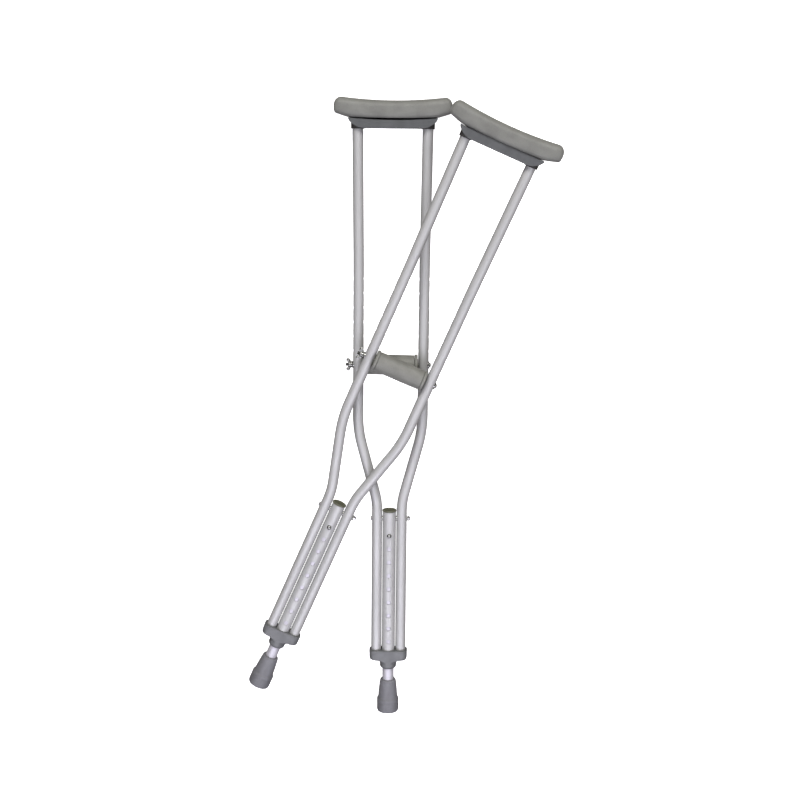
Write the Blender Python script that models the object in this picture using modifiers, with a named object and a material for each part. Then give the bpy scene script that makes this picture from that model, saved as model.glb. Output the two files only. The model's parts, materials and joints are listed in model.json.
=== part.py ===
"""A pair of adjustable aluminium underarm crutches, laid flat one across the other.

Each crutch is designed in its own frame: X across, Y from the tip's sole to the pad,
Z out of the plane of the tubes. Crutch A lies level, crutch B rests on A's hand grip.
"""
import math

import bmesh
import bpy
from mathutils import Matrix, Vector

# ---- driving dimensions, in metres ------------------------------------------------------
GAP = 0.0003                # clearance between pieces that touch
HOLE_PITCH = 0.0254         # one inch between adjusting holes
LEG_HOLES = 9
GRIP_HOLES = 7

BOW_RADIUS = 0.00925        # bent uprights
CENTRE_RADIUS = 0.0118      # centre tube
LEG_RADIUS = 0.0103         # sliding leg
WALL = 0.0012

TIP_TOP = 0.062             # rubber tip, from its sole
TIP_RADIUS = 0.0201
TIP_STEP = 0.0248
SOLE = 0.0075
NECK_BOTTOM = 0.0845        # yoke
YOKE_BOTTOM = 0.1025
YOKE_TOP = 0.1205
YOKE_HALF_WIDTH = 0.035
YOKE_HALF_DEPTH = 0.0145
NECK_RADIUS = 0.0152
YOKE_RIVET_Y = 0.111
TUBE_FOOT = 0.1055          # lower end of the three upper tubes
BUTTON_Y = 0.341            # top snap hole
CROSS_BOLT_Y = 0.3715
CENTRE_TOP = 0.3846
GROUP_HALF = 0.0224         # bow tube from the centre line, beside the centre tube
GRIP_HALF = 0.0577          # bow tube from the centre line, beside the grip
TOP_HALF = 0.0604           # bow tube from the centre line, under the pad
BEND_LOW_Y = 0.4032
BEND_HIGH_Y = 0.535
SPREAD_Y = 0.835             # the uprights are parallel below this, and lean out above
BOW_TOP = 1.0745
GRIP_Y = 0.654              # the lowest grip hole
GRIP_RADIUS = 0.0178
FLANGE_RADIUS = 0.0186
RING_WIDTH = 0.0055          # end ring of the grip
RING_INSET = 0.0103          # its outer end, inward of the bow tube's axis
SADDLE_BOTTOM = 1.0652
SADDLE_RIVET_Y = 1.0687
SADDLE_HALF_DEPTH = 0.0163
PAD_BOTTOM = 1.0787          # at the middle
PAD_TOP = 1.1110             # at the middle
PAD_HALF = 0.1014
PAD_HALF_DEPTH = 0.0201
PAD_DISH = 0.0060            # rise of the top at DISH_HALF
DISH_HALF = 0.093
PAD_CURVE = 0.0032           # rise of the underside at CURVE_HALF
CURVE_HALF = 0.076
BOLT_RADIUS = 0.003
CROSS_RADIUS = 0.0025
BUTTON_RADIUS = 0.0040
RIVET_RADIUS = 0.0018

B_TURN = math.radians(-23.2)    # crutch B about Z, and where its sole lies
B_SOLE = (-0.2416, 0.0493)


# ---- Blender helpers --------------------------------------------------------------------
def new_collection(name):
    made = bpy.data.collections.new(name)
    bpy.context.scene.collection.children.link(made)
    return made


def material(name, colour, roughness, metallic=0.0):
    made = bpy.data.materials.new(name)
    made.use_nodes = True
    shader = made.node_tree.nodes["Principled BSDF"]
    shader.inputs["Base Color"].default_value = (*colour, 1.0)
    shader.inputs["Roughness"].default_value = roughness
    shader.inputs["Metallic"].default_value = metallic
    return made


def add_object(name, mesh, collection):
    made = bpy.data.objects.new(name, mesh)
    collection.objects.link(made)
    return made


def from_bmesh(name, shape, collection):
    bmesh.ops.recalc_face_normals(shape, faces=shape.faces)
    mesh = bpy.data.meshes.new(name)
    shape.to_mesh(mesh)
    shape.free()
    return add_object(name, mesh, collection)


def as_cutter(obj):
    obj.hide_render = True
    obj.display_type = "WIRE"
    return obj


def wide(radius, sides):
    """Corner radius of a polygon whose flats stay GAP outside the given radius."""
    return (radius + GAP) / math.cos(math.pi / sides)


def pad_underside(x):
    return PAD_BOTTOM + PAD_CURVE * (x / CURVE_HALF) ** 2


def rod(name, collection, start, end, radius, sides=16, end_radius=None):
    """A solid cylinder, or a cone, from start to end."""
    start, end = Vector(start), Vector(end)
    along = end - start
    shape = bmesh.new()
    bmesh.ops.create_cone(
        shape, cap_ends=True, segments=sides, radius1=radius,
        radius2=radius if end_radius is None else end_radius, depth=along.length,
        matrix=Matrix.Translation((start + end) / 2) @ along.to_track_quat("Z", "Y").to_matrix().to_4x4())
    return from_bmesh(name, shape, collection)


def turned(name, collection, profile, steps, origin=(0, 0, 0), axis="Y"):
    """A closed profile of (radius, height) points, top to bottom outside, turned round axis."""
    mesh = bpy.data.meshes.new(name)
    count = len(profile)
    edges = [(i, (i + 1) % count) for i in range(count)]
    if profile[0][0] == 0 and profile[-1][0] == 0:
        edges.pop()
    mesh.from_pydata([(r, 0, h) for r, h in profile], edges, [])
    obj = add_object(name, mesh, collection)
    obj.location = origin
    turns = {"Y": (-math.pi / 2, 0, 0), "X": (0, math.pi / 2, 0), "Z": (0, 0, 0)}
    obj.rotation_euler = turns[axis]
    screw = obj.modifiers.new("turn", "SCREW")
    screw.steps = screw.render_steps = steps
    screw.use_merge_vertices = True
    screw.merge_threshold = 0.00001
    return obj


def plate(name, collection, outline, low, high):
    """A flat outline in X and Y, as a solid between two heights in Z."""
    shape = bmesh.new()
    face = shape.faces.new([shape.verts.new((x, y, low)) for x, y in outline])
    grown = bmesh.ops.extrude_face_region(shape, geom=[face])
    tops = [v for v in grown["geom"] if isinstance(v, bmesh.types.BMVert)]
    bmesh.ops.translate(shape, verts=tops, vec=(0, 0, high - low))
    return from_bmesh(name, shape, collection)


def bevel(obj, width, segments=2, angle=30):
    made = obj.modifiers.new("rounded", "BEVEL")
    made.width = width
    made.segments = segments
    made.limit_method = "ANGLE"
    made.angle_limit = math.radians(angle)
    return obj


def boolean(obj, tool, operation="DIFFERENCE"):
    made = obj.modifiers.new(tool.name, "BOOLEAN")
    made.object = tool
    made.operation = operation
    as_cutter(tool)
    return obj


def bent_path(corners, step=math.radians(4)):
    """Points along straight runs joined by arcs. A corner is (x, y, bend radius)."""
    points = [Vector(corners[0][:2])]
    for before, (x, y, radius), after in zip(corners, corners[1:], corners[2:]):
        corner = Vector((x, y))
        back = (Vector(before[:2]) - corner).normalized()
        ahead = (Vector(after[:2]) - corner).normalized()
        turn = math.pi - back.angle(ahead)
        reach = radius * math.tan(turn / 2)
        centre = corner + (back + ahead).normalized() * (radius / math.cos(turn / 2))
        first = corner + back * reach - centre
        count = max(1, round(turn / step))
        side = 1 if first.x * ahead.y - first.y * ahead.x > 0 else -1
        for i in range(count + 1):
            angle = side * turn * i / count
            points.append(centre + Matrix.Rotation(angle, 2) @ first)
    points.append(Vector(corners[-1][:2]))
    return points


def tube(name, collection, path, radius, wall, resolution):
    """A hollow tube along a path of (x, y) points, open at both ends."""
    curve = bpy.data.curves.new(name, "CURVE")
    curve.dimensions = "3D"
    curve.bevel_depth = radius
    curve.bevel_resolution = resolution
    curve.render_resolution_u = 0
    spline = curve.splines.new("POLY")
    spline.points.add(len(path) - 1)
    for point, (x, y) in zip(spline.points, path):
        point.co = (x, y, 0, 1)
    guide = add_object(name + "_curve", curve, collection)
    bpy.context.view_layer.update()
    evaluated = guide.evaluated_get(bpy.context.evaluated_depsgraph_get())
    mesh = bpy.data.meshes.new_from_object(evaluated)
    place = guide.matrix_world.copy()
    bpy.data.objects.remove(guide)
    obj = add_object(name, mesh, collection)
    obj.matrix_world = place
    shell = obj.modifiers.new("wall", "SOLIDIFY")
    shell.thickness = wall
    shell.offset = -1
    return obj


# ---- the pieces of one crutch -----------------------------------------------------------
class Crutch:
    """Builds one crutch and keeps its pieces with the group each one moves with."""

    def __init__(self, parts, cutters):
        self.parts = parts
        self.cutters = cutters
        self.pieces = {}
        self.finishes = {
            "pad": material("soft_pad", (0.30, 0.30, 0.27), 0.62),
            "grip": material("soft_grip", (0.28, 0.28, 0.26), 0.62),
            "moulding": material("grey_moulding", (0.16, 0.165, 0.17), 0.5),
            "cap": material("cap_plastic", (0.13, 0.13, 0.10), 0.5),
            "rubber": material("tip_rubber", (0.14, 0.14, 0.15), 0.75),
            "tube": material("anodised_tube", (0.47, 0.47, 0.46), 0.36, 0.9),
            "leg": material("polished_leg", (0.62, 0.61, 0.66), 0.25, 1.0),
            "zinc": material("zinc_plate", (0.62, 0.62, 0.60), 0.28, 1.0),
            "steel": material("spring_steel", (0.35, 0.35, 0.36), 0.3, 1.0),
        }

    def keep(self, obj, group, finish):
        """Names a piece, colours it and files it under the group it moves with."""
        made = self.finishes[finish].copy()
        made.name = obj.name + "_" + finish
        obj.data.materials.clear()
        obj.data.materials.append(made)
        self.pieces[obj.name] = (obj, group)
        return obj

    def cutter(self, name, start, end, radius, sides=8):
        return as_cutter(rod(name, self.cutters, start, end, radius, sides))

    def build(self):
        self.build_tubes()
        self.build_cross_bolt()
        self.build_saddle()
        self.build_pad()
        self.build_yoke()
        self.build_leg()
        self.build_snap()
        self.build_grip()
        self.build_wing_nut()

    def build_tubes(self):
        corners = [
            (GROUP_HALF, TUBE_FOOT, 0),
            (GROUP_HALF, BEND_LOW_Y, 0.14),
            (GRIP_HALF, BEND_HIGH_Y, 0.22),
            (GRIP_HALF, SPREAD_Y, 1.5),
            (TOP_HALF, BOW_TOP, 0),
        ]
        hole = wide(BOLT_RADIUS, 6)
        grip_holes = []
        for i in range(GRIP_HOLES):
            y = GRIP_Y + i * HOLE_PITCH
            grip_holes.append(((-0.08, y, 0), (0.08, y, 0), hole))
        cross_hole = ((-0.05, CROSS_BOLT_Y, 0), (0.05, CROSS_BOLT_Y, 0), wide(CROSS_RADIUS, 6))
        drill = self.drill("grip_hole_drill", grip_holes + [cross_hole], 6)
        path = bent_path(corners)
        under_skirt = -SADDLE_HALF_DEPTH - GAP
        for side, word in ((-1, "left"), (1, "right")):
            sided = [(side * x, y) for x, y in path]
            bow = tube("bow_tube_" + word, self.parts, sided, BOW_RADIUS, WALL, 4)
            boolean(bow, drill)
            x = side * (TOP_HALF - 0.0001)      # the leaning tube's axis at the rivet
            rivet_hole = self.cutter("bow_rivet_drill_" + word, (x, SADDLE_RIVET_Y, -0.0125),
                                     (x, SADDLE_RIVET_Y, 0), wide(RIVET_RADIUS, 6), 6)
            boolean(bow, rivet_hole)
            self.keep(bow, "frame", "tube")
            rivet = turned("saddle_rivet_" + word, self.parts, [
                (0, 0.0105), (RIVET_RADIUS, 0.0105), (RIVET_RADIUS, 0.0), (0.0034, 0.0),
                (0.0030, -0.0010), (0.0016, -0.0016), (0, -0.0018)], 10,
                (x, SADDLE_RIVET_Y, under_skirt), "Z")
            self.keep(rivet, "frame", "zinc")

        centre = tube("centre_tube", self.parts, [(0, TUBE_FOOT), (0, CENTRE_TOP)],
                      CENTRE_RADIUS, WALL, 6)
        rows = []
        for i in range(LEG_HOLES):
            y = BUTTON_Y - i * HOLE_PITCH
            rows.append(((0, y, 0.006), (0, y, 0.02), wide(BUTTON_RADIUS, 8)))
        boolean(centre, self.drill("snap_hole_drill", rows, 8))
        boolean(centre, self.cutter("cross_bolt_drill", *cross_hole, 8))
        rivet_hole = self.cutter("yoke_rivet_drill", (0, YOKE_RIVET_Y, -0.02),
                                 (0, YOKE_RIVET_Y, -0.006), wide(RIVET_RADIUS, 6), 6)
        boolean(centre, rivet_hole)
        self.keep(centre, "frame", "tube")

        self.keep(turned("centre_cap", self.parts, [
            (0, CENTRE_TOP + 0.0036), (0.0112, CENTRE_TOP + 0.0036), (0.0128, CENTRE_TOP + 0.0022),
            (0.0128, CENTRE_TOP + GAP), (0.0101, CENTRE_TOP + GAP),
            (0.0098, CENTRE_TOP - 0.0080), (0, CENTRE_TOP - 0.0080)], 16), "frame", "cap")

    def drill(self, name, holes, sides):
        """One cutter that holds a row of separate drills."""
        shape = bmesh.new()
        for start, end, radius in holes:
            start, end = Vector(start), Vector(end)
            along = end - start
            turn = along.to_track_quat("Z", "Y").to_matrix().to_4x4()
            bmesh.ops.create_cone(shape, cap_ends=True, segments=sides, radius1=radius,
                                  radius2=radius, depth=along.length,
                                  matrix=Matrix.Translation((start + end) / 2) @ turn)
        return as_cutter(from_bmesh(name, shape, self.cutters))

    def build_cross_bolt(self):
        outer = GROUP_HALF + BOW_RADIUS
        self.keep(turned("cross_bolt", self.parts, [
            (0, outer + 0.0068), (CROSS_RADIUS, outer + 0.0068),
            (CROSS_RADIUS, -outer - GAP), (0.0042, -outer - GAP), (0.0036, -outer - 0.0017),
            (0, -outer - 0.0026)], 8,
            (0, CROSS_BOLT_Y, 0), "X"), "frame", "zinc")
        bore = wide(CROSS_RADIUS, 8)
        self.keep(turned("cross_washer", self.parts, [
            (bore, outer + 0.0012), (0.0048, outer + 0.0012), (0.0048, outer + GAP),
            (bore, outer + GAP)], 10, (0, CROSS_BOLT_Y, 0), "X"), "frame", "zinc")
        self.keep(turned("cross_nut", self.parts, [
            (bore, outer + 0.0055), (0.0043, outer + 0.0055),
            (0.0043, outer + 0.0015), (bore, outer + 0.0015)], 6,
            (0, CROSS_BOLT_Y, 0), "X"), "frame", "zinc")
        centre_shape = self.cutter("centre_tube_clearance", (0, 0.35, 0), (0, 0.39, 0),
                                   wide(CENTRE_RADIUS, 16), 16)
        for name, side in (("spacer_left", -1), ("spacer_right", 1)):
            near, far = 0.0095, 0.0165
            spacer = turned(name, self.parts, [
                (bore, far), (0.0044, far), (0.0044, near), (bore, near)], 10,
                (0, CROSS_BOLT_Y, 0), "X")
            spacer.rotation_euler = (0, side * math.pi / 2, 0)
            bow_shape = self.cutter(name + "_clearance", (side * GROUP_HALF, 0.35, 0),
                                    (side * GROUP_HALF, 0.39, 0), wide(BOW_RADIUS, 12), 12)
            boolean(spacer, centre_shape)
            boolean(spacer, bow_shape)
            self.keep(spacer, "frame", "zinc")

    def build_saddle(self):
        """Moulded bracket: a dished top plate, two skirts and two tube sockets."""
        depth, skirt = SADDLE_HALF_DEPTH, 0.0022
        plate_top = 0.0035                      # thickness of the top plate
        flat_half, edge = 0.0560, 0.0030        # where the corner curve starts, and ends
        steps = 4
        top = [(CURVE_HALF * i / steps, pad_underside(CURVE_HALF * i / steps) - GAP)
               for i in range(steps, -steps - 1, -1)]
        height = top[0][1] - edge - SADDLE_BOTTOM
        corner = []
        for i in range(6):
            angle = math.pi / 2 * i / 5
            corner.append((flat_half + (CURVE_HALF - flat_half) * math.cos(angle),
                           SADDLE_BOTTOM + height * (1 - math.sin(angle))))
        outline = top + [(-x, y) for x, y in corner] + corner[::-1]
        body = plate("saddle", self.parts, outline, -depth, depth)
        inner = 0.93                            # the pocket stops short of the plate's ends
        hollow = [(x * inner, y - plate_top) for x, y in top]
        hollow += [(-CURVE_HALF, SADDLE_BOTTOM - 0.01), (CURVE_HALF, SADDLE_BOTTOM - 0.01)]
        pocket = plate("saddle_pocket", self.cutters, hollow, -depth + skirt, depth - skirt)
        boolean(body, pocket)
        socket_radius = 0.0115
        sockets = []
        for side, word in ((-1, "left"), (1, "right")):
            x = side * TOP_HALF
            socket = rod("socket_" + word, self.cutters, (x, SADDLE_BOTTOM - 0.001, 0),
                         (x, pad_underside(TOP_HALF) - 0.0013, 0), socket_radius, 16)
            boolean(body, socket, "UNION")
            sockets.append((x, word))
        for x, word in sockets:
            below = SADDLE_BOTTOM - 0.02
            lean = (TOP_HALF - GRIP_HALF) / (BOW_TOP - SPREAD_Y)
            foot = (1 - lean * (BOW_TOP - below) / TOP_HALF) * x
            bore = self.cutter("socket_bore_" + word, (foot, below, 0),
                               (x, BOW_TOP + 0.0004, 0), wide(BOW_RADIUS, 12), 12)
            boolean(body, bore)
            rivet = self.cutter("saddle_rivet_drill_" + word, (x, SADDLE_RIVET_Y, -0.03),
                                (x, SADDLE_RIVET_Y, 0), wide(RIVET_RADIUS, 6), 6)
            boolean(body, rivet)
        self.keep(body, "frame", "moulding")

    def build_pad(self):
        """Soft underarm pad: a dished bar, round above at its ends and sloped below."""
        def top(x):
            return PAD_TOP + PAD_DISH * (x / DISH_HALF) ** 2

        steps = 6
        right = [(CURVE_HALF * i / steps, pad_underside(CURVE_HALF * i / steps))
                 for i in range(steps + 1)]
        right += [(0.0970, PAD_BOTTOM + 0.0096), (0.0999, PAD_BOTTOM + 0.0115),
                  (PAD_HALF, PAD_BOTTOM + 0.0180), (PAD_HALF, 1.1040), (0.1002, 1.1090),
                  (0.0966, 1.1137), (0.0910, 1.1164)]
        right += [(x, top(x)) for x in (0.0850, 0.0700, 0.0525, 0.0350, 0.0175, 0)]
        left = [(-x, y) for x, y in reversed(right[1:-1])]
        pad = plate("underarm_pad", self.parts, right + left, -PAD_HALF_DEPTH, PAD_HALF_DEPTH)
        bevel(pad, 0.0060, 2, 50)
        self.keep(pad, "frame", "pad")

    def build_yoke(self):
        """Moulded clamp on the ends of the three tubes, with a round neck for the leg."""
        shape = bmesh.new()
        bmesh.ops.create_cube(shape, size=1)
        for vert in shape.verts:
            upper = vert.co.y > 0
            half_width = YOKE_HALF_WIDTH if upper else YOKE_HALF_WIDTH - 0.0006
            vert.co.x = math.copysign(half_width, vert.co.x)
            vert.co.z = math.copysign(YOKE_HALF_DEPTH, vert.co.z)
            vert.co.y = YOKE_TOP if upper else YOKE_BOTTOM
        uprights = [e for e in shape.edges
                    if abs(e.verts[0].co.y - e.verts[1].co.y) > 0.01]
        bmesh.ops.bevel(shape, geom=uprights, offset=0.0095, segments=4, profile=0.5,
                        affect="EDGES")
        body = from_bmesh("yoke", shape, self.parts)
        flare_low, flare_half = YOKE_BOTTOM - 0.0053, 0.0220
        flare = plate("yoke_flare", self.cutters, [
            (-flare_half, YOKE_BOTTOM + 0.0005), (flare_half, YOKE_BOTTOM + 0.0005),
            (NECK_RADIUS, flare_low), (-NECK_RADIUS, flare_low)], -0.0131, 0.0131)
        boolean(body, flare, "UNION")
        chamfer = 0.0030
        neck = turned("yoke_neck", self.cutters, [
            (0, YOKE_BOTTOM + 0.0015), (NECK_RADIUS, YOKE_BOTTOM + 0.0015),
            (NECK_RADIUS, NECK_BOTTOM + chamfer), (NECK_RADIUS - chamfer, NECK_BOTTOM),
            (0, NECK_BOTTOM)], 20)
        boolean(body, neck, "UNION")
        for side, word in ((-1, "left"), (1, "right")):
            x = side * GROUP_HALF
            boolean(body, self.cutter("yoke_socket_" + word, (x, TUBE_FOOT - GAP, 0),
                                      (x, 0.14, 0), wide(BOW_RADIUS, 12), 12))
        boolean(body, self.cutter("yoke_centre_socket", (0, TUBE_FOOT - GAP, 0), (0, 0.14, 0),
                                  wide(CENTRE_RADIUS, 16), 16))
        boolean(body, self.cutter("yoke_leg_bore", (0, 0.06, 0), (0, 0.14, 0),
                                  wide(LEG_RADIUS, 16), 16))
        boolean(body, self.cutter("yoke_rivet_hole", (0, YOKE_RIVET_Y, -0.03),
                                  (0, YOKE_RIVET_Y, -0.011), wide(RIVET_RADIUS, 6), 6))
        self.keep(body, "frame", "moulding")
        self.keep(turned("yoke_rivet", self.parts, [
            (0, 0.0040), (RIVET_RADIUS, 0.0040), (RIVET_RADIUS, 0.0), (0.0035, 0.0),
            (0.0031, -0.0010), (0.0016, -0.0016), (0, -0.0018)], 10,
            (0, YOKE_RIVET_Y, -YOKE_HALF_DEPTH - GAP), "Z"), "frame", "zinc")

    def build_leg(self):
        foot = SOLE + 0.0022
        leg_top = BUTTON_Y + 0.0205
        leg = tube("leg_tube", self.parts, [(0, foot), (0, leg_top)], LEG_RADIUS, WALL, 6)
        boolean(leg, self.cutter("button_hole_drill", (0, BUTTON_Y, 0.002), (0, BUTTON_Y, 0.02),
                                 wide(BUTTON_RADIUS, 10), 10))
        self.keep(leg, "leg", "leg")
        self.keep(turned("leg_plug", self.parts, [
            (0, leg_top + 0.0025), (0.0095, leg_top + 0.0025), (0.0101, leg_top + 0.0018),
            (0.0101, leg_top + GAP), (0.0086, leg_top + GAP), (0.0084, leg_top - 0.0080),
            (0, leg_top - 0.0080)], 12), "leg", "cap")
        socket = wide(LEG_RADIUS, 20)
        self.keep(turned("rubber_tip", self.parts, [
            (socket, TIP_TOP), (0.0126, TIP_TOP), (0.0141, TIP_TOP - 0.0012),
            (0.0150, TIP_TOP - 0.0050), (0.0163, 0.0460), (0.0177, TIP_STEP + 0.0044),
            (0.0190, TIP_STEP + 0.0008), (TIP_RADIUS, TIP_STEP - 0.0020),
            (TIP_RADIUS, 0.0022), (0.0188, 0.0),
            (0, 0.0), (0, SOLE), (socket, SOLE)], 20), "leg", "rubber")
        self.keep(turned("tip_washer", self.parts, [
            (0, SOLE + 0.0019), (0.0100, SOLE + 0.0019), (0.0100, SOLE + GAP),
            (0, SOLE + GAP)], 14), "leg", "steel")

    def build_snap(self):
        """Bent strip spring inside the leg, and the button that it pushes out."""
        bend_y, arm = BUTTON_Y - 0.040, 0.0068
        path = [(BUTTON_Y + 0.005, arm), (BUTTON_Y - 0.006, arm)]
        for i in range(7):
            angle = math.pi * (0.5 + i / 6)
            path.append((bend_y + 0.0035 * math.cos(angle), 0.0035 * math.sin(angle)))
        path += [(BUTTON_Y - 0.006, -arm), (BUTTON_Y + 0.005, -arm)]
        shape = bmesh.new()
        rows = [[shape.verts.new((x, y, z)) for x in (-0.0035, 0.0035)] for y, z in path]
        for one, two in zip(rows, rows[1:]):
            shape.faces.new((one[0], one[1], two[1], two[0]))
        spring = from_bmesh("snap_spring", shape, self.parts)
        strip = spring.modifiers.new("strip", "SOLIDIFY")
        strip.thickness = 0.0006
        strip.offset = 0
        self.keep(spring, "leg", "steel")
        self.keep(turned("snap_button", self.parts, [
            (0, 0.0152), (0.0018, 0.0149), (0.0033, 0.0139), (BUTTON_RADIUS, 0.0124),
            (BUTTON_RADIUS, 0.0075), (0, 0.0075)], 10, (0, BUTTON_Y, 0), "Z"),
            "button", "zinc")

    def build_grip(self):
        core = wide(0.0108, 16)
        body = GRIP_HALF - RING_WIDTH - RING_INSET
        self.keep(turned("hand_grip", self.parts, [
            (core, body), (0.0172, body), (GRIP_RADIUS, 0.015),
            (GRIP_RADIUS, -0.015), (0.0172, -body), (core, -body)], 18,
            (0, GRIP_Y, 0), "X"), "grip", "grip")
        inner = body + GAP
        end = GRIP_HALF - RING_INSET
        for side, word in ((-1, "left"), (1, "right")):
            ring = turned("grip_ring_" + word, self.parts, [
                (core, end), (0.0175, end), (FLANGE_RADIUS, end - 0.0018),
                (FLANGE_RADIUS, inner + 0.0006), (0.0180, inner), (core, inner)], 18,
                (0, GRIP_Y, 0), "X")
            ring.rotation_euler = (0, side * math.pi / 2, 0)
            self.keep(ring, "grip", "grip")
        bore = wide(BOLT_RADIUS, 12)
        core_half = GRIP_HALF - BOW_RADIUS - GAP
        self.keep(turned("grip_core", self.parts, [
            (bore, core_half), (0.0108, core_half), (0.0108, -core_half),
            (bore, -core_half)], 16, (0, GRIP_Y, 0), "X"), "grip", "cap")

        outer = GRIP_HALF + BOW_RADIUS
        seat = outer + 0.0013
        self.keep(turned("grip_bolt", self.parts, [
            (0, seat + 0.0029), (0.0024, seat + 0.0025),
            (0.0042, seat + GAP), (BOLT_RADIUS, seat + GAP), (BOLT_RADIUS, -seat - 0.0112),
            (0.0024, -seat - 0.0118), (0, -seat - 0.0118)], 12,
            (0, GRIP_Y, 0), "X"), "grip", "zinc")
        for name, side in (("nut_washer", -1), ("head_washer", 1)):
            washer = turned(name, self.parts, [
                (bore, seat), (0.0060, seat), (0.0066, outer - 0.0030), (bore, outer - 0.0030)],
                14, (0, GRIP_Y, 0), "X")
            washer.rotation_euler = (0, side * math.pi / 2, 0)
            boolean(washer, self.cutter(name + "_seat", (side * GRIP_HALF, GRIP_Y - 0.03, 0),
                                        (side * GRIP_HALF, GRIP_Y + 0.03, 0),
                                        wide(BOW_RADIUS, 12), 12))
            self.keep(washer, "grip", "zinc")

    def build_wing_nut(self):
        """Hub with two wings that splay up and out, away from the tube."""
        seat = GRIP_HALF + BOW_RADIUS + 0.0013 + GAP
        hub = rod("wing_nut", self.parts, (-seat, GRIP_Y, 0), (-seat - 0.0068, GRIP_Y, 0),
                  0.0056, 16, 0.0045)
        for side, word in ((-1, "lower"), (1, "upper")):
            outline = [(0.0005, 0.0), (0.0005, 0.0046), (0.0026, 0.0066)]
            centre, radius = Vector((0.0072, 0.0079)), 0.0031
            for i in range(8):
                angle = math.radians(150 - i * 35)
                outline.append((centre.x + radius * math.cos(angle),
                                centre.y + radius * math.sin(angle)))
            outline.append((0.0058, 0.0))
            points = [(-seat - x, GRIP_Y + side * y) for x, y in outline]
            wing = plate("wing_" + word, self.cutters, points, -0.0012, 0.0012)
            boolean(hub, wing, "UNION")
        boolean(hub, self.cutter("wing_nut_bore", (-seat + 0.002, GRIP_Y, 0),
                                 (-seat - 0.02, GRIP_Y, 0), wide(BOLT_RADIUS, 12), 12))
        self.keep(hub, "wing", "zinc")


# ---- assembly ---------------------------------------------------------------------------
PIVOTS = {
    "frame": ((0, 0, 0), None),
    "leg": ((0, YOKE_TOP, 0), "frame"),
    "button": ((0, BUTTON_Y, 0), "leg"),
    "grip": ((0, GRIP_Y, 0), "frame"),
    "wing": ((-GRIP_HALF, GRIP_Y, 0), "grip"),
}


def hang(obj, parent):
    obj.parent = parent
    obj.matrix_parent_inverse = parent.matrix_world.inverted()


def place_pivots(prefix, collection):
    """Empties on each moving group's joint axis, linked in a tree."""
    made = {}
    for group, (location, parent) in PIVOTS.items():
        pivot = add_object(prefix + group + "_pivot", None, collection)
        pivot.location = location
        bpy.context.view_layer.update()
        if parent:
            hang(pivot, made[parent])
        made[group] = pivot
    bpy.context.view_layer.update()
    return made


def twin(obj, name, collection):
    """A copy of a finished piece, as a plain mesh in the same place."""
    evaluated = obj.evaluated_get(bpy.context.evaluated_depsgraph_get())
    copy = add_object(name, bpy.data.meshes.new_from_object(evaluated), collection)
    copy.matrix_basis = obj.matrix_basis.copy()
    return copy


def world_bounds(objects):
    graph = bpy.context.evaluated_depsgraph_get()
    points = []
    for obj in objects:
        seen = obj.evaluated_get(graph)
        points += [seen.matrix_world @ v.co for v in seen.data.vertices]
    low = Vector([min(p[i] for p in points) for i in range(3)])
    high = Vector([max(p[i] for p in points) for i in range(3)])
    return low, high


def shade(obj):
    obj.data.shade_smooth()
    obj.data.set_sharp_from_angle(angle=math.radians(35))


def main():
    for obj in list(bpy.data.objects):
        bpy.data.objects.remove(obj)
    parts = new_collection("underarm_crutches")
    cutters = new_collection("cutters")
    crutch = Crutch(parts, cutters)
    crutch.build()
    bpy.context.view_layer.update()

    a_pivots = place_pivots("a_", parts)
    b_pivots = place_pivots("b_", parts)
    solids = []
    for name, (obj, group) in crutch.pieces.items():
        copy = twin(obj, "b_" + name, parts)
        obj.name = "a_" + name
        hang(obj, a_pivots[group])
        hang(copy, b_pivots[group])
        solids += [obj, copy]
    for cutter in cutters.objects:
        hang(cutter, a_pivots["frame"])

    rise = 2 * GRIP_RADIUS + GAP
    tilt = math.asin(rise / GRIP_Y)
    a_pivots["frame"].location = (0, 0, TIP_RADIUS)
    b_place = Matrix.Translation((*B_SOLE, TIP_RADIUS * math.cos(tilt)))
    b_place = b_place @ Matrix.Rotation(B_TURN, 4, "Z") @ Matrix.Rotation(tilt, 4, "X")
    b_pivots["frame"].matrix_world = b_place
    bpy.context.view_layer.update()

    low, high = world_bounds(solids)
    shift = Vector(((low.x + high.x) / 2, (low.y + high.y) / 2, low.z))
    for pivots in (a_pivots, b_pivots):
        pivots["frame"].location -= shift
    for obj in solids:
        shade(obj)


main()
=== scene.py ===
"""Looks of a pair of aluminium underarm crutches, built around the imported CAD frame.

Every piece is modelled once in a crutch's own frame (X across, Y from the tip's sole to the
pad, Z out of the plane of the tubes) and then placed on both crutches.
"""
import json
import math

import bmesh
import bpy
from mathutils import Matrix, Vector


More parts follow.
